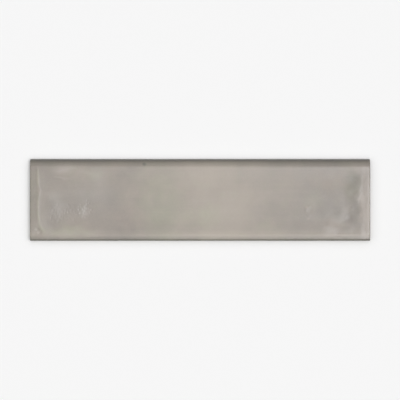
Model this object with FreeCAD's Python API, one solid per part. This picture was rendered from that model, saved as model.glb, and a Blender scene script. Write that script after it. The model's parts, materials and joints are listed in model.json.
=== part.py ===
import FreeCAD, Part
import math
import os
from FreeCAD import Vector

# A glazed ceramic bullnose tile, lying on its back with the glazed face up.
# It is pressed and fired as one piece: one long edge is rounded over, the other three are square.
# X runs along the tile, Y across it towards the rounded edge, and Z is up.
# The origin is the middle of the back, at the level that its ribs rest on.
# All sizes are in millimetres.

# Outline of the fired tile
tile_length = 300.0
tile_width = 72.0
tile_thickness = 9.0

# Rounded long edge: a quarter round from the face down to a short upright land
bullnose_land = 1.8

# Square long edge: the face sinks gently, then rolls over into the wall
edge_cushion_width = 6.0
edge_cushion_drop = 0.6
edge_arris_radius = 2.0

# The two ends: the face sinks in the same way, and a tight arris also rounds the upright corners
end_cushion_width = 6.5
end_cushion_drop = 0.5
end_arris_radius = 0.6

# Back: a bevelled foot, and shallow recessed keys for the adhesive, with ribs between them
back_bevel = 0.5
least_rim_width = 5.0
rib_width = 4.0
key_side = 16.0
key_depth = 0.8
key_corner_radius = 2.5
key_draft_degrees = 35.0

# Measures that follow from the sizes above
half_length = tile_length / 2
half_width = tile_width / 2
bullnose_radius = tile_thickness - bullnose_land
key_pitch = key_side + rib_width

# Edges and points this near to a plane are taken to lie on it
on_plane = 0.001


def cushion_radius(width, drop):
    # An arc of this radius leaves the face level, and has sunk by drop once it has gone width outwards
    return (width ** 2 + drop ** 2) / (2 * drop)


# Section across the tile

def section_arc(centre_y, centre_z, radius, start_degrees, end_degrees):
    middle_degrees = (start_degrees + end_degrees) / 2
    angles = [math.radians(degrees) for degrees in (start_degrees, middle_degrees, end_degrees)]
    points = [
        Vector(0, centre_y + radius * math.cos(angle), centre_z + radius * math.sin(angle))
        for angle in angles
    ]
    return Part.Arc(*points).toShape()


def cross_section(foot_z):
    # The section in the YZ plane at X = 0, with both walls carried down to foot_z
    cushion = cushion_radius(edge_cushion_width, edge_cushion_drop)
    cushion_y = -half_width + edge_cushion_width
    cushion_z = tile_thickness - cushion

    # The arris circle lies inside the cushion's circle, and touches both it and the wall
    arris_y = -half_width + edge_arris_radius
    centre_distance = cushion - edge_arris_radius
    meeting_degrees = math.degrees(math.acos((arris_y - cushion_y) / centre_distance))
    arris_z = cushion_z + centre_distance * math.sin(math.radians(meeting_degrees))

    bullnose_y = half_width - bullnose_radius
    wall_foot = Vector(0, -half_width, foot_z)
    wall_top = Vector(0, -half_width, arris_z)
    face_start = Vector(0, cushion_y, tile_thickness)
    face_end = Vector(0, bullnose_y, tile_thickness)
    land_top = Vector(0, half_width, bullnose_land)
    land_foot = Vector(0, half_width, foot_z)
    edges = [
        Part.LineSegment(wall_foot, wall_top).toShape(),
        section_arc(arris_y, arris_z, edge_arris_radius, 180.0, meeting_degrees),
        section_arc(cushion_y, cushion_z, cushion, meeting_degrees, 90.0),
        Part.LineSegment(face_start, face_end).toShape(),
        section_arc(bullnose_y, bullnose_land, bullnose_radius, 90.0, 0.0),
        Part.LineSegment(land_top, land_foot).toShape(),
        Part.LineSegment(land_foot, wall_foot).toShape(),
    ]
    return Part.Face(Part.Wire(edges))


# Pressed body

def turned_end(section, side, straight_half):
    # The section turned gently downwards about a level axis that crosses far under the tile
    turn_radius = cushion_radius(end_cushion_width, end_cushion_drop)
    axis_point = Vector(side * straight_half, 0, tile_thickness - turn_radius)

    # The back is nearest the axis, so it needs the widest turn to reach the end, and a little over
    back_radius = turn_radius - tile_thickness
    overrun = 1.2
    turn_degrees = overrun * math.degrees(math.asin(end_cushion_width / back_radius))
    start = section.translated(Vector(side * straight_half, 0, 0))
    return start.revolve(axis_point, Vector(0, side, 0), turn_degrees)


def pressed_blank():
    # The section runs straight along the tile, turns down at both ends, and is trimmed square
    spare_depth = tile_thickness / 2
    section = cross_section(-spare_depth)
    straight_half = half_length - end_cushion_width
    straight = section.translated(Vector(-straight_half, 0, 0)).extrude(Vector(2 * straight_half, 0, 0))
    ends = [turned_end(section, side, straight_half) for side in (-1, 1)]
    corner = Vector(-half_length, -half_width, 0)
    die = Part.makeBox(tile_length, tile_width, tile_thickness, corner)
    return straight.fuse(ends).removeSplitter().common(die).removeSplitter()


def with_rounded_ends(blank):
    # One arris runs round each end: up a corner, over the face and the bullnose, and down again
    def is_end_edge(edge):
        box = edge.BoundBox
        at_end = abs(abs(box.Center.x) - half_length) < on_plane and box.XLength < on_plane
        return at_end and box.ZMax > on_plane

    return blank.makeFillet(end_arris_radius, [edge for edge in blank.Edges if is_end_edge(edge)])


def with_bevelled_foot(body):
    foot_edges = [edge for edge in body.Edges if edge.BoundBox.ZMax < on_plane]
    return body.makeChamfer(back_bevel, foot_edges)


# Keyed back

def key_outline(z, corner_radius):
    # A square with rounded corners: the key's square core, grown by the corner radius
    half_core = key_side / 2 - key_corner_radius
    signs = [(-1, -1), (1, -1), (1, 1), (-1, 1), (-1, -1)]
    core = Part.makePolygon([Vector(half_core * x, half_core * y, z) for x, y in signs])
    return core.makeOffset2D(corner_radius)


def key_cutter():
    # A shallow pan that narrows towards its floor, so that the tile comes off the punch
    inward = key_depth * math.tan(math.radians(key_draft_degrees))
    mouth = key_outline(0, key_corner_radius)
    floor = key_outline(key_depth, key_corner_radius - inward)
    return Part.makeLoft([mouth, floor], True, True)


def key_places(across):
    # As many keys as fit between the rims, spaced evenly about the middle
    count = int((across - 2 * least_rim_width + rib_width) // key_pitch)
    return [(index - (count - 1) / 2) * key_pitch for index in range(count)]


def with_keyed_back(body):
    cutter = key_cutter()
    cutters = [
        cutter.translated(Vector(x, y, 0))
        for x in key_places(tile_length)
        for y in key_places(tile_width)
    ]
    return body.cut(cutters)


tile = with_keyed_back(with_bevelled_foot(with_rounded_ends(pressed_blank()))).Solids[0]
os.makedirs("parts", exist_ok=True)
tile.exportStep("parts/bullnose_tile.step")
print("bullnose_tile:", len(tile.Faces), "faces,", round(tile.Volume / 1000, 2), "cm3, valid", tile.isValid())
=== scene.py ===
import json
import math
import random

import bmesh
import bpy
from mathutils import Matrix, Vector

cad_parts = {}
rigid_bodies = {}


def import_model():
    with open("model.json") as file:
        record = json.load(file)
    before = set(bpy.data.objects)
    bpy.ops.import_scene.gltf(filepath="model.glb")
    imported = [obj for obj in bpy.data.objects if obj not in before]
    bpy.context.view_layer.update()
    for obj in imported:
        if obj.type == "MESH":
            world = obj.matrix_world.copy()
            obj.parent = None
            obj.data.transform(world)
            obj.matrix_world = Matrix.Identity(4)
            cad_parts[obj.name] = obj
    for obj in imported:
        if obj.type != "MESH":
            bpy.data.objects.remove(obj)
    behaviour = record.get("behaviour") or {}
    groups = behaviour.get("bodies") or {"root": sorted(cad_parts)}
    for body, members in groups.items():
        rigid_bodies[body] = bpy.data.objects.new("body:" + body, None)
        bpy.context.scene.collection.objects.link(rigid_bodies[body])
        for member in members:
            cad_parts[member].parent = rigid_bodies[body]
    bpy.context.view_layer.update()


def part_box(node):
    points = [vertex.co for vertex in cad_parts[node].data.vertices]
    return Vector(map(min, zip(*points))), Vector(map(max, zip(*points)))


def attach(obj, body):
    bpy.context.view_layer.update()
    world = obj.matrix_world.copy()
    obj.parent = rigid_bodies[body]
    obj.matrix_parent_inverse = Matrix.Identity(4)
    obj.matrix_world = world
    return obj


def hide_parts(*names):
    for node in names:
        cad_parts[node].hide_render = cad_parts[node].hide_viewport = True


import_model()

# A glazed bullnose wall tile, lying face up and seen from straight above.
# X runs along it, +Y is the rounded edge, and the back rests on Z = 0.
mm = 0.001
near = 0.01 * mm                # what lies this close to a plane counts as on it
snap = near / 10                # and a cut takes points this close for its own
lowCorner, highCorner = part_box("bullnose_tile")
endX = highCorner.x
edgeY = highCorner.y
faceZ = highCorner.z
print("frame loaded, tile is", [round(side / mm, 2) for side in highCorner - lowCorner], "mm")


# Small helpers for picking parts of the mesh by their place, as a click would

def deselectAll():
    bpy.ops.object.select_all(action="DESELECT")


def pick(kind, passes):
    # Picks the visible points, edges or faces that pass a test, and nothing else
    bpy.ops.mesh.select_mode(type=kind)
    bpy.ops.mesh.select_all(action="DESELECT")
    form = bmesh.from_edit_mesh(bpy.context.object.data)
    for part in {"VERT": form.verts, "EDGE": form.edges, "FACE": form.faces}[kind]:
        if not part.hide and passes(part):
            part.select_set(True)


def pickPoints(test):
    # test gets the place of a point
    pick("VERT", lambda vert: test(vert.co))


def pickEdges(test):
    # test gets the middle of an edge and the way from its one end to the other
    def passes(edge):
        start, end = [vert.co for vert in edge.verts]
        return test((start + end) / 2, end - start)

    pick("EDGE", passes)


def pickFaces(test):
    # test gets the centre of a face and its normal
    pick("FACE", lambda face: test(face.calc_center_median(), face.normal))


# Tile body

tileShape = {
    "bullnoseRadius": 7.2,      # quarter round on the +Y edge
    "bullnoseSteps": 20,
    "squareArris": 2.0,         # rounding of the long square edge
    "squareArrisSteps": 7,
    "endArris": 0.6,            # rounding of both ends and of the upright corners
    "endArrisSteps": 5,
    "footBevel": 0.5,           # all round the back
    "glazeLineSquare": 3.2,     # the glaze stops this high on the square wall
    "glazeLineRound": 0.9,      # and this high under the rounded edge
    "glazeThick": 0.15,         # the bare clay stands this far behind the glaze
    "glazeLip": 0.1,            # rounding of the glaze's lower edge
    "glazeLipSteps": 2,
    "wallSlack": 0.05,          # an edge this far behind the glazed wall still counts as on it
    "gridStep": 0.65,           # mesh grid on the face, fine enough for glaze ripples
    "gridBlocks": 6,            # a subdivide takes 100 cuts at most, so the length is cut in two goes
    "wholeEdge": 0.9,           # an edge spans the tile or a block from this share of its length on
}


def startTile(shape):
    # A plain block at the tile's size, with its two long edges and both ends rounded
    deselectAll()
    size = highCorner - lowCorner
    middle = (highCorner + lowCorner) / 2
    bpy.ops.mesh.primitive_cube_add(size=1, location=middle, scale=size)
    bpy.ops.object.transform_apply(location=True, rotation=True, scale=True)
    tile = bpy.context.object
    tile.name = "glazed_tile"
    bpy.ops.object.mode_set(mode="EDIT")
    for side, radius, steps in (
        (1, shape["bullnoseRadius"], shape["bullnoseSteps"]),
        (-1, shape["squareArris"], shape["squareArrisSteps"]),
    ):
        pickEdges(lambda mid, way: abs(mid.y - side * edgeY) < near and abs(mid.z - faceZ) < near
                  and abs(way.x) > endX)
        bpy.ops.mesh.bevel(offset=radius * mm, segments=steps, affect="EDGES")
    pickEdges(lambda mid, way: abs(abs(mid.x) - endX) < near and abs(way.x) < near and mid.z > near)
    bpy.ops.mesh.bevel(offset=shape["endArris"] * mm, segments=shape["endArrisSteps"], affect="EDGES")
    return tile


def aboveGlazeLine(place, shape):
    # The glaze line is level on both long sides and slopes across the ends
    share = (place.y + edgeY) / (2 * edgeY)
    lineZ = shape["glazeLineSquare"] + share * (shape["glazeLineRound"] - shape["glazeLineSquare"])
    return place.z - lineZ * mm


def onOuterWall(place, shape):
    # True on the upright walls of the glazed part, the rounded corners included
    radius = shape["endArris"] * mm
    overX = max(0, abs(place.x) - endX + radius)
    overY = max(0, abs(place.y) - edgeY + radius)
    return math.hypot(overX, overY) > radius - shape["wallSlack"] * mm


def cutGlazeLip(shape):
    # The wall is cut at the glaze line, the clay under it is stepped in, and the lip is rounded
    slope = (shape["glazeLineRound"] - shape["glazeLineSquare"]) * mm / (2 * edgeY)
    middleLine = (shape["glazeLineRound"] + shape["glazeLineSquare"]) / 2 * mm
    bpy.ops.mesh.select_all(action="SELECT")
    bpy.ops.mesh.bisect(plane_co=(0, 0, middleLine), plane_no=(0, -slope, 1), threshold=snap)
    pickFaces(lambda mid, normal: aboveGlazeLine(mid, shape) < -near)
    bpy.ops.mesh.extrude_region()
    stepIn = shape["glazeThick"] * mm
    bpy.ops.transform.resize(value=(1 - stepIn / endX, 1 - stepIn / edgeY, 1), center_override=(0, 0, 0))
    pickEdges(lambda mid, way: abs(aboveGlazeLine(mid, shape)) < near and onOuterWall(mid, shape))
    bpy.ops.mesh.bevel(offset=shape["glazeLip"] * mm, segments=shape["glazeLipSteps"], affect="EDGES")


def bevelFoot(shape):
    pickEdges(lambda mid, way: mid.z < near)
    bpy.ops.mesh.bevel(offset=shape["footBevel"] * mm, segments=1, affect="EDGES")


# Keyed back

backKeys = {
    "columns": 14,
    "rows": 3,
    "side": 16.0,               # mouth of one key
    "rib": 4.0,                 # between two keys
    "depth": 0.8,
    "draft": 35.0,              # degrees that the key's sides lean in
    "cornerRadius": 2.5,
    "cornerSteps": 4,
}


def pressBackKeys(keys):
    # The back is cut into square cells, and each cell gets a rib all round and a sunk pan
    pitch = (keys["side"] + keys["rib"]) * mm
    fieldX = keys["columns"] * pitch / 2
    fieldY = keys["rows"] * pitch / 2

    def onBack(mid, normal):
        return mid.z < near and normal.z < 0

    def inField(mid):
        return abs(mid.x) < fieldX and abs(mid.y) < fieldY

    for count, half, axis in ((keys["columns"], fieldX, 0), (keys["rows"], fieldY, 1)):
        for line in range(count + 1):
            place = [0, 0, 0]
            across = [0, 0, 0]
            place[axis] = line * pitch - half
            across[axis] = 1
            pickFaces(onBack)
            bpy.ops.mesh.bisect(plane_co=place, plane_no=across, threshold=snap)
    pickFaces(lambda mid, normal: onBack(mid, normal) and inField(mid))
    bpy.ops.mesh.inset(thickness=keys["rib"] / 2 * mm, use_individual=True)
    leanIn = keys["depth"] * math.tan(math.radians(keys["draft"]))
    bpy.ops.mesh.inset(thickness=leanIn * mm, depth=-keys["depth"] * mm, use_individual=True)
    # the four leaning corners of each pan run between its mouth and its floor, along none of the axes
    panFloor = keys["depth"] * mm - near
    pickEdges(lambda mid, way: inField(mid) and near < mid.z < panFloor
              and min(abs(part) for part in way) > near)
    bpy.ops.mesh.bevel(offset=keys["cornerRadius"] * mm, segments=keys["cornerSteps"], affect="EDGES")


def markBareClay(tile, shape):
    # Two material slots: the glaze, and the clay that stays bare below the glaze line and on the back
    bpy.ops.object.material_slot_add()
    bpy.ops.object.material_slot_add()
    pickFaces(lambda mid, normal: aboveGlazeLine(mid, shape) < -near)
    tile.active_material_index = 1
    bpy.ops.object.material_slot_assign()


def gridTheGlaze(shape):
    # Above the glaze line the long edges are cut into a fine grid, and then the face's cross edges
    step = shape["gridStep"] * mm
    blocks = shape["gridBlocks"]
    lengthways = round(2 * endX / step / blocks)
    crossways = round((2 * edgeY - (shape["bullnoseRadius"] + shape["squareArris"]) * mm) / step)
    lowest = shape["footBevel"] * mm + near
    leastLength = shape["wholeEdge"] * 2 * endX / blocks

    def glazed(place):
        # the lip's own edges, just under the line, are cut too
        return place.z > lowest and aboveGlazeLine(place, shape) > -2 * shape["glazeThick"] * mm

    for cuts in (blocks - 1, lengthways - 1):
        pickEdges(lambda mid, way: glazed(mid) and abs(way.x) > leastLength)
        bpy.ops.mesh.subdivide(number_cuts=cuts)
    pickEdges(lambda mid, way: glazed(mid) and abs(way.y) > edgeY)
    bpy.ops.mesh.subdivide(number_cuts=crossways - 1)


# Small relief in the glaze, pulled up or down one by one, each place in mm from the middle of the tile

glazeRelief = {
    "hidden": 5.0,              # the tile lower than this under its face stays as it is
    # raised lines where the glaze piled up: points along the line, height, reach
    "beads": [
        ([(-143.6, 26.5), (-143.1, 14), (-141.7, 8.5), (-143.0, 1), (-143.4, -10), (-142.5, -19),
          (-139.9, -25.3), (-135.6, -28.9)], 0.06, 1.6),
        ([(-143.5, 27.6), (-130, 28.2), (-60, 28.6), (40, 28.0), (143, 28.4)], 0.035, 1.6),
        ([(-135, -29.8), (-60, -30.3), (20, -30.5), (143, -30.3)], 0.05, 1.2),
        ([(127.5, -13.5), (124.5, -18), (120, -22), (114.5, -28.5)], 0.06, 6.0),
        ([(96.5, -13.5), (93.5, -11), (93.5, -7.5), (96.5, -5.5)], 0.06, 1.8),
        ([(145.6, 26), (145.3, 12), (145.8, 4)], 0.03, 1.2),
    ],
    # pits and hollows: centre, depth, reach
    "pits": [
        ((-143.4, -26.4), 0.23, 2.0),
        ((-141.2, -28.6), 0.23, 1.9),
        ((-129.5, -10.5), 0.06, 3.0),
        ((97.5, -10.0), 0.07, 3.4),
        ((-49.3, 31.4), 0.12, 1.8),
        ((136.5, 17.5), 0.09, 6.0),
        ((135.5, 5.5), 0.10, 5.5),
        ((137.5, -8.4), 0.09, 5.0),
        ((131.5, -16.4), 0.06, 3.6),
        ((137.5, -25.0), 0.07, 4.5),
    ],
    "grip": 0.5,                # points this near to a bead's line or a pit's centre are pulled
    # pinholes in patches: centre, half size, how far apart, share of places taken, depth
    "pinholes": [
        ((-101.3, -8.5), (5, 6.5), 1.8, 0.9, 0.17),
        ((-123, -11), (7.5, 7.5), 2.1, 0.6, 0.09),
        ((-113, -13), (8, 6), 2.2, 0.5, 0.08),
        ((141, 1), (3, 7), 2.2, 0.5, 0.06),
    ],
    "pinholeGrip": 0.33,        # the same for a pinhole's line
    "pinholeReach": 0.8,
    # as shares of how far apart they are: straying along X and Y, leaning, and the longest half length
    "pinholeStray": (0.2, 0.3),
    "pinholeLean": 0.2,
    "pinholeHalf": 0.45,
    "pinholeRim": 1.4,          # they end this many half sizes out
    "pinholeMargin": 3.0,       # and this many mm outside a patch no point is looked at any more
    "seed": 5,
}


def pull(depth, reach):
    # Moves the picked points up or down, and their neighbours with them as far as reach
    bpy.ops.transform.translate(
        value=(0, 0, depth * mm),
        use_proportional_edit=True,
        proportional_edit_falloff="SMOOTH",
        proportional_size=reach * mm,
    )


def within(share):
    return min(1, max(0, share))


def fromLine(place, line):
    # How far a place is from a line of points, seen from above, in mm
    spot = Vector((place.x / mm, place.y / mm))
    gaps = []
    for start, end in zip(line, line[1:]):
        start = Vector(start)
        way = Vector(end) - start
        share = within((spot - start).dot(way) / (way.length_squared or 1))
        gaps.append((start + way * share - spot).length)
    return min(gaps)


def raiseBeads(relief):
    for line, height, reach in relief["beads"]:
        pickPoints(lambda place: fromLine(place, line) < relief["grip"])
        pull(height, reach)


def pressPinholes(relief):
    # Short upright marks, one point wide, in ragged rows that thin out towards the patch's edge
    dice = random.Random(relief["seed"])
    strayX, strayY = relief["pinholeStray"]
    margin = relief["pinholeMargin"]
    for centre, half, apart, taken, depth in relief["pinholes"]:
        marks = []
        columns = round(half[0] / apart)
        rows = round(half[1] / apart)
        for column in range(-columns, columns + 1):
            for row in range(-rows, rows + 1):
                out = math.hypot(column / columns, row / rows)
                spot = Vector((centre[0] + (column + dice.gauss(0, strayX)) * apart,
                               centre[1] + (row + dice.gauss(0, strayY)) * apart))
                lean = Vector((dice.gauss(0, relief["pinholeLean"]), 1))
                lean = lean * apart * dice.uniform(0, relief["pinholeHalf"])
                if dice.random() < taken * (relief["pinholeRim"] - out):
                    marks.append([spot - lean, spot + lean])

        def onMark(place):
            overX = abs(place.x / mm - centre[0]) - half[0]
            overY = abs(place.y / mm - centre[1]) - half[1]
            if max(overX, overY) > margin:
                return False
            return any(fromLine(place, mark) < relief["pinholeGrip"] for mark in marks)

        pickPoints(onMark)
        pull(-depth, relief["pinholeReach"])


def pressPits(relief):
    for centre, depth, reach in relief["pits"]:
        pickPoints(lambda place: fromLine(place, [centre, centre]) < relief["grip"])
        pull(-depth, reach)


tile = startTile(tileShape)
cutGlazeLip(tileShape)
bevelFoot(tileShape)
pressBackKeys(backKeys)
markBareClay(tile, tileShape)
gridTheGlaze(tileShape)
pickPoints(lambda place: place.z < faceZ - glazeRelief["hidden"] * mm)
bpy.ops.mesh.hide()
raiseBeads(glazeRelief)
pressPinholes(glazeRelief)
pressPits(glazeRelief)
bpy.ops.mesh.reveal(select=False)
bpy.ops.object.mode_set(mode="OBJECT")
print("tile body:", len(tile.data.vertices), "points,", len(tile.data.polygons), "faces")


# Form of the glazed face: a shallow dish inside three raised borders, which roll off to the walls

glazedFace = {
    # crest of each border, as (distance along the border, distance from the middle), in mm
    "leftCrest": [(-36, 134), (-31, 136.5), (-26, 140), (-19, 142.5), (-10, 143.2), (1, 142.8),
                  (8.5, 141.6), (15, 142.9), (36, 143.4)],
    "rightCrest": [(-36, 141.5), (-27, 142.4), (-14, 143.8), (-6, 142.8), (1, 141), (8, 140.8),
                   (15, 142.4), (36, 143.2)],
    "squareCrest": [(-150, 28.8), (-90, 29.5), (-20, 29.1), (60, 29.6), (150, 28.9)],
    "endDrop": 0.45,            # how far the face has sunk where an end's arris starts
    "endSlope": 0.65,           # share of that drop that is an even slope, while the rest is a curve
    "squareDrop": 0.34,
    "dishDepth": 0.30,
    "dishEdge": 2.0,            # the dish reaches no lower than this under the face
    "leftFlank": 25.0,          # how far inside each border the dish reaches its depth
    "rightFlank": 15.0,
    "squareFlank": 13.0,
    "bullnoseFlank": 13.0,
    "glazeRoom": 0.11,          # the whole face sinks by this, to keep the beads inside the thickness
    # where that sinking, and then the waves, start and are full: in mm from the ends, from the square
    # edge and from the rounded edge
    "sinkBorders": ((1, 5), (1, 5), (2, 7)),
    "waveBorders": ((1, 8), (2, 7), (6, 13)),
    "wallFoot": 0.6,            # all of it ends this far above the glaze line
    "wallFade": 3.0,            # and fades out down to there over this height
    # name of each wave, its length and how deep it goes
    "waves": [
        ("fireWarp", 95.0, 0.16),
        ("glazePool", 30.0, 0.10),
        ("orangePeel", 7.0, 0.018),
    ],
    "rippleLength": 11.0,       # the glaze is more restless towards both ends
    "rippleDepth": 0.09,
    "rippleStart": 82.0,        # mm from the middle
    "rippleFull": 122.0,
    "creaseAngle": 28.0,        # edges sharper than this stay crisp
}

lipWave = {
    # the glaze's lower edge wanders up and down the walls
    "length": 16.0,
    "depth": 1.1,
    "holdAbove": 0.2,           # the glaze above its edge moves fully up to here
    "fadeAbove": 1.6,           # and not at all from here on
    "holdBelow": 0.3,           # the clay moves fully in this share of its height, and then fades out
    "fullHeight": 1.6,          # on a lower clay wall than this the wave is smaller
}


def smoothStep(value, start, end):
    share = within((value - start) / (end - start))
    return share * share * (3 - 2 * share)


def crestAt(along, crest):
    # Where a crest lies, with soft turns between its points
    along = along / mm
    for (start, startOut), (end, endOut) in zip(crest, crest[1:]):
        if along <= end:
            return (startOut + (endOut - startOut) * smoothStep(along, start, end)) * mm
    return crest[-1][1] * mm


def wallShare(place):
    # 1 on the face, and 0 from a little above the glaze line down
    foot = tileShape["glazeLineSquare"] + glazedFace["wallFoot"]
    return smoothStep(place.z, foot * mm, (foot + glazedFace["wallFade"]) * mm)


def endRoll(place):
    # From 0 at a crest to 1 where the end's arris starts, with a slope from the crest on
    crest = glazedFace["leftCrest"] if place.x < 0 else glazedFace["rightCrest"]
    crestX = crestAt(place.y, crest)
    width = endX - tileShape["endArris"] * mm - crestX
    share = within((abs(place.x) - crestX) / width)
    slope = glazedFace["endSlope"]
    return (slope * share + (1 - slope) * share * share) * wallShare(place)


def squareRoll(place):
    crestY = crestAt(place.x, glazedFace["squareCrest"])
    width = edgeY - tileShape["squareArris"] * mm - crestY
    share = within((-place.y - crestY) / width)
    return share * share * wallShare(place)


def dish(place):
    # Full in the middle, and rising to the crests: soon and steeply on the left, slowly on the right
    if place.z < faceZ - glazedFace["dishEdge"] * mm:
        return 0
    fromLeft = crestAt(place.y, glazedFace["leftCrest"]) + place.x
    fromRight = crestAt(place.y, glazedFace["rightCrest"]) - place.x
    fromSquare = place.y + crestAt(place.x, glazedFace["squareCrest"])
    fromBullnose = edgeY - tileShape["bullnoseRadius"] * mm - place.y
    left = 1 - (1 - within(fromLeft / (glazedFace["leftFlank"] * mm))) ** 3
    return (left * smoothStep(fromRight, 0, glazedFace["rightFlank"] * mm)
            * smoothStep(fromSquare, 0, glazedFace["squareFlank"] * mm)
            * smoothStep(fromBullnose, 0, glazedFace["bullnoseFlank"] * mm))


def insideBorders(place, borders):
    # Full on the face, and fading out over the borders given for the ends, the square and the rounded edge
    share = 1
    for gap, (start, full) in zip((endX - abs(place.x), place.y + edgeY, edgeY - place.y), borders):
        share = share * smoothStep(gap, start * mm, full * mm)
    return share * wallShare(place)


def settled(place):
    return insideBorders(place, glazedFace["sinkBorders"])


def onFace(place):
    return insideBorders(place, glazedFace["waveBorders"])


def nearEnds(place):
    start = glazedFace["rippleStart"] * mm
    full = glazedFace["rippleFull"] * mm
    return onFace(place) * smoothStep(abs(place.x), start, full)


def atGlazeLine(place):
    # Full on the glaze's lower edge, and fading out above it and down to the foot's bevel
    over = aboveGlazeLine(place, tileShape)
    clayHeight = place.z - over - tileShape["footBevel"] * mm
    if over < 0:
        fade = 1 - smoothStep(-over, lipWave["holdBelow"] * clayHeight, clayHeight)
    else:
        fade = 1 - smoothStep(over, lipWave["holdAbove"] * mm, lipWave["fadeAbove"] * mm)
    return fade * min(1, clayHeight / (lipWave["fullHeight"] * mm))


def weigh(tile, name, weightAt):
    # A vertex group whose weight follows the place of each point
    group = tile.vertex_groups.new(name=name)
    for vert in tile.data.vertices:
        weight = weightAt(vert.co)
        if weight > 0:
            group.add([vert.index], weight, "REPLACE")


def displace(tile, name, group, depth, waveLength=None, level=1):
    # The whole group sinks by depth, or it moves in waves: only down at level 1, and up and down at 0.5
    push = tile.modifiers.new(name, "DISPLACE")
    push.direction = "Z"
    push.vertex_group = group
    if waveLength:
        clouds = bpy.data.textures.new(name, "CLOUDS")
        clouds.noise_scale = waveLength * mm
        clouds.noise_depth = 0
        push.texture = clouds
        push.texture_coords = "LOCAL"
        push.strength = depth * mm
        push.mid_level = level
    else:
        push.strength = -depth * mm
        push.mid_level = 0
    bpy.ops.object.modifier_apply(modifier=name)


deselectAll()
tile.select_set(True)
bpy.context.view_layer.objects.active = tile
weigh(tile, "face", onFace)
for name, depth, weightAt in (
    ("settle", glazedFace["glazeRoom"], settled),
    ("dish", glazedFace["dishDepth"], dish),
    ("endRolls", glazedFace["endDrop"], endRoll),
    ("squareRoll", glazedFace["squareDrop"], squareRoll),
):
    weigh(tile, name, weightAt)
    displace(tile, name, name, depth)
weigh(tile, "glazeLine", atGlazeLine)
displace(tile, "lipWave", "glazeLine", lipWave["depth"], lipWave["length"], 0.5)
for name, length, depth in glazedFace["waves"]:
    displace(tile, name, "face", depth, length)
weigh(tile, "restlessEnds", nearEnds)
displace(tile, "endRipple", "restlessEnds", glazedFace["rippleDepth"], glazedFace["rippleLength"])
bpy.ops.object.shade_smooth_by_angle(angle=math.radians(glazedFace["creaseAngle"]))
print("face dished and rippled")


# Materials

def linearColour(code):
    # An sRGB hex colour as linear red, green, blue and alpha
    parts = [int(code[start:start + 2], 16) / 255 for start in (1, 3, 5)]
    return [part / 12.92 if part <= 0.04045 else ((part + 0.055) / 1.055) ** 2.4 for part in parts] + [1]


def addNode(tree, kind, place, settings=(), values=(), links=()):
    # One node: its settings by name, its input values by socket, and what is plugged into it
    node = tree.nodes.new(kind)
    node.location = place
    for name, setting in dict(settings).items():
        setattr(node, name, setting)
    for socket, value in dict(values).items():
        node.inputs[socket].default_value = value
    for socket, source in dict(links).items():
        tree.links.new(source, node.inputs[socket])
    return node


def startMaterial(name):
    material = bpy.data.materials.new(name)
    material.use_nodes = True
    material.node_tree.nodes.clear()
    return material, material.node_tree


def grainValues(grain):
    # A noise's spots are about this many mm across, with this much finer detail in them
    size, detail = grain
    return {"Scale": 1 / (size * mm), "Detail": detail}


def unevenness(tree, place, grain, low, high, at, stretch=1):
    # Soft noise, drawn out along X by stretch. It keeps mostly between 0.3 and 0.7, and that is brought to
    # the range from low to high
    drawn = addNode(tree, "ShaderNodeMapping", at, values={"Scale": (1 / stretch, 1, 1)},
                    links={"Vector": place})
    noise = addNode(tree, "ShaderNodeTexNoise", (at[0] + 200, at[1]), values=grainValues(grain),
                    links={"Vector": drawn.outputs[0]})
    return addNode(tree, "ShaderNodeMapRange", (at[0] + 400, at[1]),
                   values={"From Min": 0.3, "From Max": 0.7, "To Min": low, "To Max": high},
                   links={"Value": noise.outputs["Fac"]}).outputs[0]


def fineRelief(tree, place, grain, height, at):
    # A surface roughened by noise, up to height in mm
    noise = addNode(tree, "ShaderNodeTexNoise", at, values=grainValues(grain), links={"Vector": place})
    return addNode(tree, "ShaderNodeBump", (at[0] + 200, at[1]),
                   values={"Strength": 1, "Distance": height * mm},
                   links={"Height": noise.outputs["Fac"]}).outputs[0]


def softSpot(tree, place, centre, half, turn, at):
    # 1 at the centre and smoothly down to 0 at the half size
    spot = addNode(tree, "ShaderNodeMapping", at, {"vector_type": "TEXTURE"},
                   {"Location": (centre[0] * mm, centre[1] * mm, 0), "Rotation": (0, 0, math.radians(turn)),
                    "Scale": (half[0] * mm, half[1] * mm, 1)},
                   {"Vector": place})
    ball = addNode(tree, "ShaderNodeTexGradient", (at[0] + 200, at[1]), {"gradient_type": "SPHERICAL"},
                   links={"Vector": spot.outputs[0]})
    return addNode(tree, "ShaderNodeMapRange", (at[0] + 400, at[1]), {"interpolation_type": "SMOOTHSTEP"},
                   links={"Value": ball.outputs["Fac"]}).outputs[0]


def bySlope(tree, normal, share, start, full, at):
    # 0 up to the start slope, rising to the share at the full slope, both in degrees
    facing = addNode(tree, "ShaderNodeSeparateXYZ", at, links={0: normal})
    steep = math.cos(math.radians(full))
    flat = math.cos(math.radians(start))
    return addNode(tree, "ShaderNodeMapRange", (at[0] + 200, at[1]),
                   values={"From Min": steep, "From Max": flat, "To Min": share, "To Max": 0},
                   links={"Value": facing.outputs[2]}).outputs[0]


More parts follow.
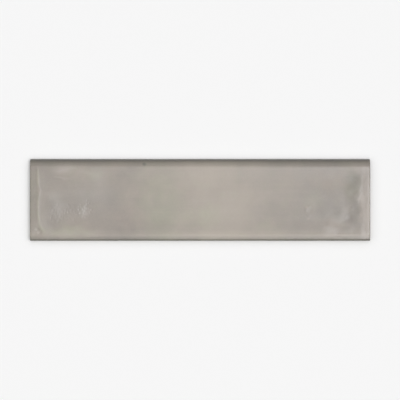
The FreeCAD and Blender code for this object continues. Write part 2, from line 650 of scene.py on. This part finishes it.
satinGlaze = {
    # zircon-opacified satin glaze, drawn along the tile by a curtain of slip and fired: it pools in soft
    # clouds, and gives the eye a dull sheen with a slow, uneven tone
    "dark": "#686058",
    "light": "#9b9083",
    "greenDark": "#666254",
    "greenLight": "#989380",
    # noises: size of a spot in mm and how much finer detail is in it
    "mottle": (24.0, 5.0),
    "mottleTones": (0.30, 0.54),    # from dark to light, before the clouds
    "streak": (3.2, 2.0),           # marks of the slip curtain, along the tile
    "streakLength": 70.0,
    "streakDepth": 0.014,
    "speck": (1.1, 2.0),            # drawn about three times as coarse as the real speckle, to show at all
    "speckDepth": 0.035,
    "tinge": (9.0, 2.0),            # small patches that turn a little greener or pinker
    "tingeDepth": 0.25,
    "drift": (17.0, 3.0),           # the edges of clouds and veils wander with this noise
    "driftReach": 7.0,              # mm that they wander
    "veilDepth": 0.03,              # and it makes all the veils a little stronger or weaker
    "peel": (1.6, 2.0),             # orange peel of the fired surface
    "peelHeight": 0.006,
    "roughness": (0.17, 0.27),      # it follows the mottle
    "ior": 1.5,
    # steep glaze is thin and fires duller: roughness added, and the slopes, in degrees, where that starts
    # and is full
    "dullEdge": (0.35, 50, 75),
    # painted light and shade by slope: a pale tone where an edge starts to roll over, a dark one where it
    # turns from the lamps, and a paler one again down the walls: tone, its share, and again two slopes in
    # degrees
    "paintedEdgeShading": [
        ("#93968f", 0.22, 4, 18),
        ("#43443e", 0.55, 36, 60),
        ("#857d72", 0.65, 66, 86),
    ],
    # broad clouds: centre and half size in mm, lighter or darker, greener or pinker; those of painted shade
    # are marked
    "clouds": [
        # the broadest makes the middle of the face lighter than towards both ends
        ((6, 2), (84, 90), 0.42, 0.0),
        ((-95, 14), (46, 18), 0.14, 0.0),
        ((-36, -6), (34, 60), 0.0, 0.8),
        ((-32, -15), (20, 13), 0.07, 0.5),
        ((-70, -16), (34, 30), -0.08, -0.1),
        ((-105, 25), (36, 12), 0.14, 0.2),
        ((-91, 22), (13, 14), 0.0, 0.4),
        ((-118, -28), (34, 8), 0.21, 0.9),
        ((-149, 2), (9, 50), 0.0, 0.5),
        # painted shade on the strip at the left end, where the face rolls away from the lamps
        ((-147, 4), (6, 16), -0.13, 0.1),
        # painted shade at the corner where the rounded edge meets the right end
        ((148, 26), (9, 17), -0.18, 0.0),
        ((147, -2), (7, 80), 0.02, -0.4),
        ((62, 10), (30, 22), 0.05, 0.0),
        ((60, -31), (150, 7), 0.06, 0.1),
        ((5, -15), (28, 16), -0.04, 0.7),
        ((70, -12), (30, 16), -0.16, 0.1),
        ((60, -24), (22, 10), 0.08, 0.3),
        ((98, 0), (14, 14), 0.10, 0.5),
        ((112, 4), (34, 50), -0.14, 0.0),
        ((112, -12), (16, 9), -0.13, 0.2),
        # painted shade in the hollows of the rippled flank along the right border, where it turns from the
        # lamps
        ((135, 18), (12, 13), -0.30, 0.7),
        ((132, 6), (10, 12), -0.22, 0.9),
        ((138, -7), (10, 14), -0.28, 0.2),
        ((130, -17), (9, 8), -0.16, 0.0),
        ((137, -21), (10, 9), -0.20, 0.1),
        ((126, -27), (9, 5), -0.18, 0.0),
    ],
    # marks with a firm edge, which don't wander, all of them painted highlights and shade: centre and half
    # size in mm, turn in degrees, lighter or darker, greener or pinker
    "marks": [
        # painted highlights where the square edge rolls over, painted shade on its arris and in a crease
        # near it
        ((0, -30.8), (2000, 5.0), 0, 0.17, 0.0),
        ((20, -31.0), (170, 1.3), 0, 0.05, 0.0),
        ((125, -31.0), (27, 1.3), 0, 0.13, -0.2),
        ((0, -34.2), (2000, 3.4), 0, -0.30, 0.3),
        ((-92, -33.0), (13, 0.9), 1, -0.20, 0.0),
        # painted highlight along the bead at the left end
        ((-143.0, 19), (1.8, 17), 0, 0.26, 0.5),
        ((-142.0, 8), (1.7, 7), 0, 0.18, -0.3),
        ((-143.1, -4), (1.8, 13), 0, 0.19, 0.5),
        ((-142.4, -17), (2.0, 9), 7, 0.15, 0.7),
        ((-139.4, -25.5), (2.3, 8), 38, 0.19, 0.8),
        # painted highlights on the small ring at the right, and in fine lines on the right border
        ((93.9, -6.3), (2.4, 2.0), 30, 0.22, 0.0),
        ((93.2, -11.0), (1.3, 4.0), 0, 0.08, 0.0),
        ((95.6, -16.5), (2.6, 2.0), 10, 0.22, -0.3),
        ((144.8, 21.5), (0.9, 8), 0, 0.17, -0.2),
        ((148.3, 0), (1.0, 60), 0, 0.08, -0.2),
        # painted shade in the small pit at the rounded edge
        ((-49.3, 31.6), (2.5, 2.0), -20, -0.80, 0.5),
    ],
    # veils over it all: a tone, then the centre, half size, turn in degrees and share of each place
    "veils": [
        # a bluish grey cast, where the glaze is thin
        ("#7f8387", [
            ((-103, 3), (40, 24), 0, 0.10),
            ((-126, -12), (22, 18), 0, 0.08),
            ((-78, 4), (26, 20), 0, 0.05),
        ]),
        # painted highlights: pale, milky patches where the waves, marks and ridges of the glaze catch the
        # lamps
        ("#b3b0ab", [
            ((-91, 22), (13, 14), 0, 0.15),
            ((-121, 27), (15, 7), 0, 0.15),
            ((-119, 26), (13, 1.7), 0, 0.08),
            ((-121, 19.4), (13, 1.8), 2, 0.10),
            ((-102, 23.5), (11, 2.4), -6, 0.08),
            ((-128, 2), (11, 10), 0, 0.16),
            ((-124, -9), (8, 10), 0, 0.16),
            ((-101, -10.5), (6, 7.5), 0, 0.26),
            ((-136, -24), (10, 9), 0, 0.12),
            ((-108, -29), (46, 6), 0, 0.06),
            ((-100, 6), (34, 16), 0, 0.06),
            ((121.5, -18), (5.5, 24), -38, 0.20),
            ((116, -28), (11, 5), 0, 0.20),
            ((142, 2), (8, 7), 0, 0.12),
            ((147, -2), (7, 80), 0, 0.05),
        ]),
        # a rosy cast, where it fired hotter
        ("#a88b7c", [
            ((147, -2), (8, 80), 0, 0.08),
            ((114, 16), (36, 14), 0, 0.06),
            ((118, -24), (14, 12), 0, 0.08),
            ((-60, -16), (24, 18), 0, 0.06),
            ((-121, 24), (20, 11), 0, 0.06),
        ]),
        # a trace of iron, from the body
        ("#8f7f5f", [
            ((114, 14), (30, 18), 0, 0.07),
            ((130, 6), (10, 10), 0, 0.08),
            ((-68, 6), (26, 22), 0, 0.03),
        ]),
    ],
}


def makeSatinGlaze(look):
    material, tree = startMaterial("satinGlaze")
    coordinates = addNode(tree, "ShaderNodeTexCoord", (-3000, 0))
    place = coordinates.outputs["Object"]
    normal = coordinates.outputs["Normal"]

    # places pushed about by a noise, for what wanders
    drift = addNode(tree, "ShaderNodeTexNoise", (-2700, -200), values=grainValues(look["drift"]),
                    links={"Vector": place})
    reach = 2 * look["driftReach"] * mm
    pushed = addNode(tree, "ShaderNodeVectorMath", (-2500, -200), {"operation": "MULTIPLY_ADD"},
                     {1: (reach, reach, 0), 2: (-reach / 2, -reach / 2, 0)}, {0: drift.outputs["Color"]})
    moved = addNode(tree, "ShaderNodeVectorMath", (-2300, -100), {"operation": "ADD"},
                    links={0: place, 1: pushed.outputs[0]}).outputs[0]

    # two sums run through the clouds and the marks, painted highlights and shade among them: how light and
    # how green the glaze is
    lighter = unevenness(tree, place, look["mottle"], *look["mottleTones"], (-2000, 300))
    for grain, depth, stretch, up in (
        (look["streak"], look["streakDepth"], look["streakLength"] / look["streak"][0], 700),
        (look["speck"], look["speckDepth"], 1, 500),
    ):
        finer = unevenness(tree, place, grain, -depth, depth, (-2000, up), stretch)
        lighter = addNode(tree, "ShaderNodeMath", (-1400, up), {"operation": "ADD"},
                          links={0: finer, 1: lighter}).outputs[0]
    greener = unevenness(tree, place, look["tinge"], -look["tingeDepth"], look["tingeDepth"], (-2000, 100))
    spots = [(moved, centre, half, 0, light, green) for centre, half, light, green in look["clouds"]]
    spots += [(place, *mark) for mark in look["marks"]]
    for step, (where, centre, half, turn, light, green) in enumerate(spots):
        down = -220 * step
        spot = softSpot(tree, where, centre, half, turn, (-1200, down))
        lighter = addNode(tree, "ShaderNodeMath", (-600, down), {"operation": "MULTIPLY_ADD"}, {1: light},
                          {0: spot, 2: lighter}).outputs[0]
        greener = addNode(tree, "ShaderNodeMath", (-400, down), {"operation": "MULTIPLY_ADD"}, {1: green},
                          {0: spot, 2: greener}).outputs[0]
    warm = addNode(tree, "ShaderNodeMix", (-200, 100), {"data_type": "RGBA"},
                   {6: linearColour(look["dark"]), 7: linearColour(look["light"])}, {0: lighter})
    greenish = addNode(tree, "ShaderNodeMix", (-200, -150), {"data_type": "RGBA"},
                       {6: linearColour(look["greenDark"]), 7: linearColour(look["greenLight"])},
                       {0: lighter})
    colour = addNode(tree, "ShaderNodeMix", (0, 0), {"data_type": "RGBA"},
                     links={0: greener, 6: warm.outputs[2], 7: greenish.outputs[2]})

    # veils, with painted highlights among them, and the painted light and shade of the rounded edges
    veilNoise = unevenness(tree, place, look["drift"], -look["veilDepth"], look["veilDepth"], (-2000, 900))
    for row, (tone, places) in enumerate(look["veils"]):
        left = 200 + 1000 * row
        veil = veilNoise
        for step, (centre, half, turn, share) in enumerate(places):
            up = 300 + 220 * step
            spot = softSpot(tree, moved, centre, half, turn, (left, up))
            veil = addNode(tree, "ShaderNodeMath", (left + 600, up), {"operation": "MULTIPLY_ADD"},
                           {1: share}, {0: spot, 2: veil}).outputs[0]
        colour = addNode(tree, "ShaderNodeMix", (left + 800, 0), {"data_type": "RGBA"},
                         {7: linearColour(tone)}, {0: veil, 6: colour.outputs[2]})
    # painted light and shade, by the slope of the surface
    for step, (tone, share, start, full) in enumerate(look["paintedEdgeShading"]):
        right = 4200 + 500 * step
        steepness = bySlope(tree, normal, share, start, full, (right - 200, -250))
        colour = addNode(tree, "ShaderNodeMix", (right + 200, 0), {"data_type": "RGBA"},
                         {7: linearColour(tone)}, {0: steepness, 6: colour.outputs[2]})

    sheen = unevenness(tree, place, look["mottle"], *look["roughness"], (4800, -500))
    duller = bySlope(tree, normal, *look["dullEdge"], (5000, -700))
    roughness = addNode(tree, "ShaderNodeMath", (5450, -500), {"operation": "ADD"},
                        links={0: sheen, 1: duller})
    peel = fineRelief(tree, place, look["peel"], look["peelHeight"], (5200, -900))
    shader = addNode(tree, "ShaderNodeBsdfPrincipled", (5700, 0), values={"IOR": look["ior"]},
                     links={"Base Color": colour.outputs[2], "Roughness": roughness.outputs[0],
                            "Normal": peel})
    addNode(tree, "ShaderNodeOutputMaterial", (6000, 0), links={"Surface": shader.outputs["BSDF"]})
    return material


bareClay = {
    # dust-pressed white-body biscuit: matt and chalky, with fine grog, pinholes and a pale wash on the ribs
    "pale": "#dccfba",
    "warm": "#cbb797",
    "grogTone": "#a18d77",
    "washTone": "#ece6da",
    # noises: size of a spot in mm and how much finer detail is in it
    "blotch": (22.0, 4.0),
    "grog": (1.0, 1.0),
    "grogEdges": (0.68, 0.72),  # the noise turns from body to grog between these
    "wash": (9.0, 3.0),
    "washShares": (0.1, 0.9),
    "washTop": 0.25,            # mm that the wash reaches up from the ribs
    "grain": (0.6, 3.0),
    "grainHeight": 0.05,
    "roughness": 0.9,
    "ior": 1.45,
}


def makeBareClay(look):
    material, tree = startMaterial("bareClay")
    place = addNode(tree, "ShaderNodeTexCoord", (-1800, 0)).outputs["Object"]
    blotches = unevenness(tree, place, look["blotch"], 0, 1, (-1400, 300))
    body = addNode(tree, "ShaderNodeMix", (-600, 300), {"data_type": "RGBA"},
                   {6: linearColour(look["pale"]), 7: linearColour(look["warm"])}, {0: blotches})
    crumbs = addNode(tree, "ShaderNodeTexNoise", (-1000, 0), values=grainValues(look["grog"]),
                     links={"Vector": place})
    grogStart, grogFull = look["grogEdges"]
    grogMask = addNode(tree, "ShaderNodeMapRange", (-800, 0),
                       values={"From Min": grogStart, "From Max": grogFull},
                       links={"Value": crumbs.outputs["Fac"]})
    speckled = addNode(tree, "ShaderNodeMix", (-400, 200), {"data_type": "RGBA"},
                       {7: linearColour(look["grogTone"])}, {0: grogMask.outputs[0], 6: body.outputs[2]})

    # the wash lies in patches on the lowest part of the back
    heights = addNode(tree, "ShaderNodeSeparateXYZ", (-1000, -300), links={0: place})
    low = addNode(tree, "ShaderNodeMapRange", (-800, -300),
                  values={"From Min": 0, "From Max": look["washTop"] * mm, "To Min": 1, "To Max": 0},
                  links={"Value": heights.outputs[2]})
    patches = unevenness(tree, place, look["wash"], *look["washShares"], (-1400, -500))
    washMask = addNode(tree, "ShaderNodeMath", (-600, -300), {"operation": "MULTIPLY"},
                       links={0: low.outputs[0], 1: patches})
    colour = addNode(tree, "ShaderNodeMix", (-200, 100), {"data_type": "RGBA"},
                     {7: linearColour(look["washTone"])}, {0: washMask.outputs[0], 6: speckled.outputs[2]})
    grain = fineRelief(tree, place, look["grain"], look["grainHeight"], (-600, -700))
    shader = addNode(tree, "ShaderNodeBsdfPrincipled", (0, 0),
                     values={"Roughness": look["roughness"], "IOR": look["ior"]},
                     links={"Base Color": colour.outputs[2], "Normal": grain})
    addNode(tree, "ShaderNodeOutputMaterial", (300, 0), links={"Surface": shader.outputs["BSDF"]})
    return material


glazeSlot, claySlot = tile.material_slots
glazeSlot.material = makeSatinGlaze(satinGlaze)
claySlot.material = makeBareClay(bareClay)
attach(tile, "root")
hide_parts("bullnose_tile")
print("tile dressed")


# Stage, light and camera

studio = {
    "background": "#f7f7f7",
    "floorSize": 6.0,           # metres
    "floorAlbedo": 0.94,        # the floor as the camera sees it
    "floorLift": 0.005,         # added to it for the camera alone, to reach the background's colour
    "floorBounce": 0.12,        # what the floor throws back up at the tile
    "lamps": [
        # name, light, how wide it looks and how it leans towards -Y and +X, in degrees
        ("softbox", 0.52, 106.0, (1.0, -1.0)),
        ("softboxCentre", 0.26, 44.0, (1.0, 3.0)),
        ("sideLamp", 0.20, 26.0, (6.0, 14.0)),
    ],
    "ambient": 0.01,
    "lens": 300.0,
    "sensor": 36.0,
    "frameWidth": 352.6,        # mm across the picture, at the height of the tile's face
    "aim": (-0.06, -0.08),      # mm off the middle of the tile
}


def seenDirectly(tree, at):
    # 1 for what is seen itself, in a gloss or through glass, and 0 for what only lights the tile
    light = addNode(tree, "ShaderNodeLightPath", at)
    glossy = addNode(tree, "ShaderNodeMath", (at[0] + 200, at[1]), {"operation": "MAXIMUM"},
                     links={0: light.outputs["Is Camera Ray"], 1: light.outputs["Is Glossy Ray"]})
    return addNode(tree, "ShaderNodeMath", (at[0] + 400, at[1]), {"operation": "MAXIMUM"},
                   links={0: glossy.outputs[0], 1: light.outputs["Is Transmission Ray"]}).outputs[0]


def layFloor(look):
    deselectAll()
    bpy.ops.mesh.primitive_plane_add(size=look["floorSize"], location=(0, 0, -near))
    floor = bpy.context.object
    floor.name = "floor"
    material, tree = startMaterial("paleFloor")
    seen = seenDirectly(tree, (-1000, 200))
    lift = addNode(tree, "ShaderNodeMath", (-400, 200), {"operation": "MULTIPLY"}, {1: look["floorLift"]},
                   {0: seen})
    tone = addNode(tree, "ShaderNodeMapRange", (-400, 0),
                   values={"To Min": look["floorBounce"], "To Max": look["floorAlbedo"]},
                   links={"Value": seen})
    matt = addNode(tree, "ShaderNodeBsdfDiffuse", (-200, 0), links={"Color": tone.outputs[0]})
    glow = addNode(tree, "ShaderNodeEmission", (-200, 200), links={"Strength": lift.outputs[0]})
    both = addNode(tree, "ShaderNodeAddShader", (0, 100), links={0: matt.outputs[0], 1: glow.outputs[0]})
    addNode(tree, "ShaderNodeOutputMaterial", (200, 100), links={"Surface": both.outputs[0]})
    floor.data.materials.append(material)


def hangLamp(name, light, angle, lean):
    deselectAll()
    bpy.ops.object.light_add(type="SUN", location=(0, 0, 1))
    lamp = bpy.context.object
    lamp.name = name
    lamp.data.energy = light * math.pi
    lamp.data.angle = math.radians(angle)
    lamp.rotation_euler = [math.radians(turn) for turn in (*lean, 0)]


def fillWorld(look):
    world = bpy.data.worlds.new("studio")
    bpy.context.scene.world = world
    world.use_nodes = True
    tree = world.node_tree
    tree.nodes.clear()
    seen = seenDirectly(tree, (-800, 200))
    ambient = addNode(tree, "ShaderNodeBackground", (-200, 0), values={"Strength": look["ambient"]})
    pale = addNode(tree, "ShaderNodeBackground", (-200, -150),
                   values={"Color": linearColour(look["background"])})
    mix = addNode(tree, "ShaderNodeMixShader", (0, 0),
                  links={0: seen, 1: ambient.outputs[0], 2: pale.outputs[0]})
    addNode(tree, "ShaderNodeOutputWorld", (200, 0), links={"Surface": mix.outputs[0]})


def setCamera(look):
    cameraData = bpy.data.cameras.new("camera")
    cameraData.lens = look["lens"]
    cameraData.sensor_width = look["sensor"]
    camera = bpy.data.objects.new("camera", cameraData)
    bpy.context.scene.collection.objects.link(camera)
    height = look["frameWidth"] * mm * look["lens"] / look["sensor"]
    aimX, aimY = look["aim"]
    camera.location = (aimX * mm, aimY * mm, faceZ + height)
    bpy.context.scene.camera = camera


layFloor(studio)
for lamp in studio["lamps"]:
    hangLamp(*lamp)
fillWorld(studio)
setCamera(studio)
bpy.context.scene.view_settings.view_transform = "Standard"
print("stage set")
